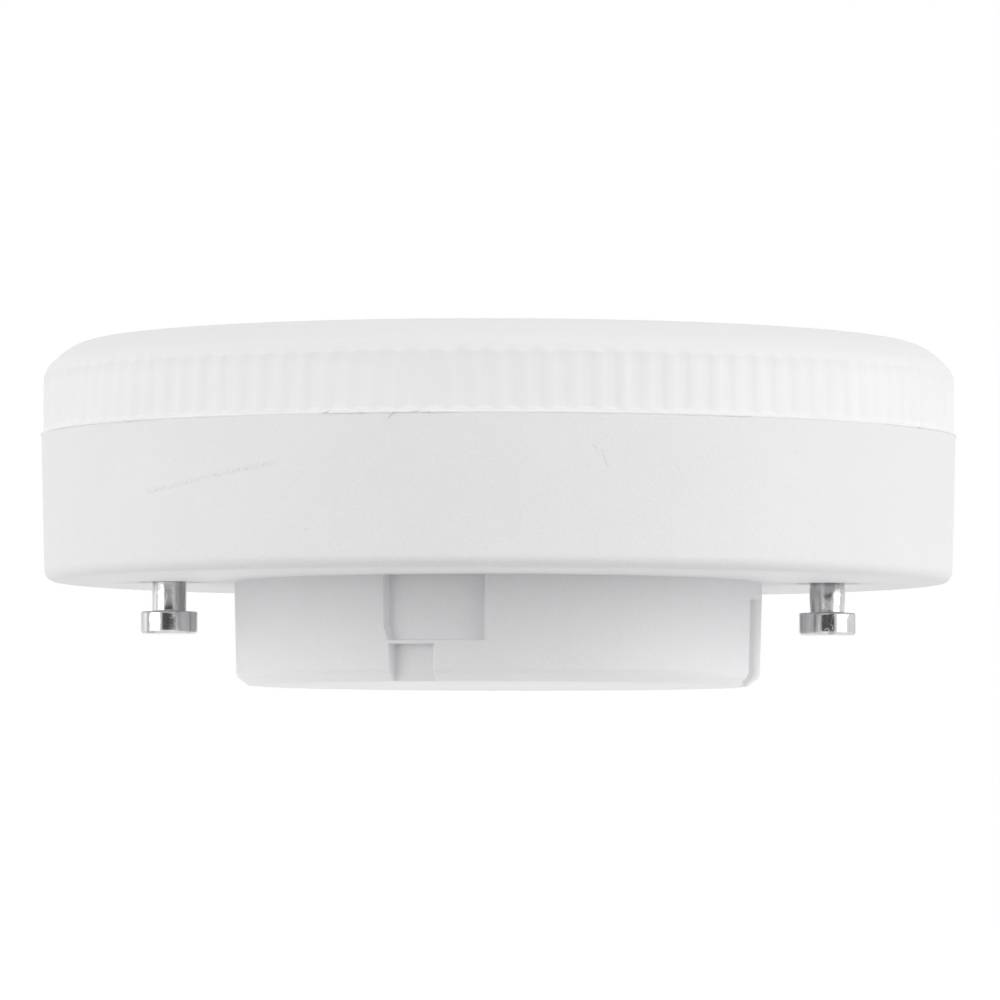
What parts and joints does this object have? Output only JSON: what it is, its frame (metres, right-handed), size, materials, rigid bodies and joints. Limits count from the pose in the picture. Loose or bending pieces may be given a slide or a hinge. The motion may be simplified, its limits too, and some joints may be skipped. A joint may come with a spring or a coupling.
{
  "type": "led disc lamp",
  "caption": "Flat round plug-in lamp: white housing with a keyed round boss, twist-lock contact pins and a ribbed opal cover.",
  "frame": {"origin": "centre of the flat end face of the boss, where the lamp rests", "axes": "+Z from the boss towards the light-giving cover, +X from the lamp's axis towards the right contact pin, so the two pins lie on X"},
  "size_m": [0.0738, 0.0738, 0.0276],
  "materials": {
    "housing_plastic": "fine spark-eroded white",
    "cover_plastic": "satin opal white",
    "pin_metal": "bright nickel plate",
    "spreader_metal": "stamped sheet",
    "pad_rubber": "soft matte",
    "board_metal": "white solder mask",
    "phosphor": "yellow phosphor in a white frame",
    "screw_steel": "zinc plated",
    "connector_plastic": "plain",
    "sheet_film": "smooth film",
    "board_laminate": "green solder mask",
    "can_sleeve": "shrunk sleeve",
    "film_case": "plain",
    "ferrite": "sintered",
    "winding_copper": "enamelled wire",
    "chip_resin": "moulded resin",
    "resistor_lacquer": "lacquer",
    "varistor_coat": "dipped coating",
    "wire_brown": "insulation",
    "wire_blue": "insulation",
    "wire_red": "insulation",
    "wire_black": "insulation"
  },
  "bodies": {
    "root": {"housing": "housing_plastic", "diffuser": "cover_plastic", "contact_pin_left": "pin_metal", "contact_pin_right": "pin_metal", "heat_spreader": "spreader_metal", "thermal_pad": "pad_rubber", "led_board": "board_metal", "led_chips": "phosphor", "board_screws": "screw_steel", "wire_connector": "connector_plastic", "insulating_sheet": "sheet_film", "driver_board": "board_laminate", "smoothing_capacitor": "can_sleeve", "output_capacitor": "can_sleeve", "film_capacitor": "film_case", "inductor_core": "ferrite", "inductor_winding": "winding_copper", "bridge_rectifier": "chip_resin", "driver_chip": "chip_resin", "fusible_resistor": "resistor_lacquer", "varistor": "varistor_coat", "live_wire": "wire_brown", "neutral_wire": "wire_blue", "led_wire_plus": "wire_red", "led_wire_minus": "wire_black"}
  },
  "joints": []
}
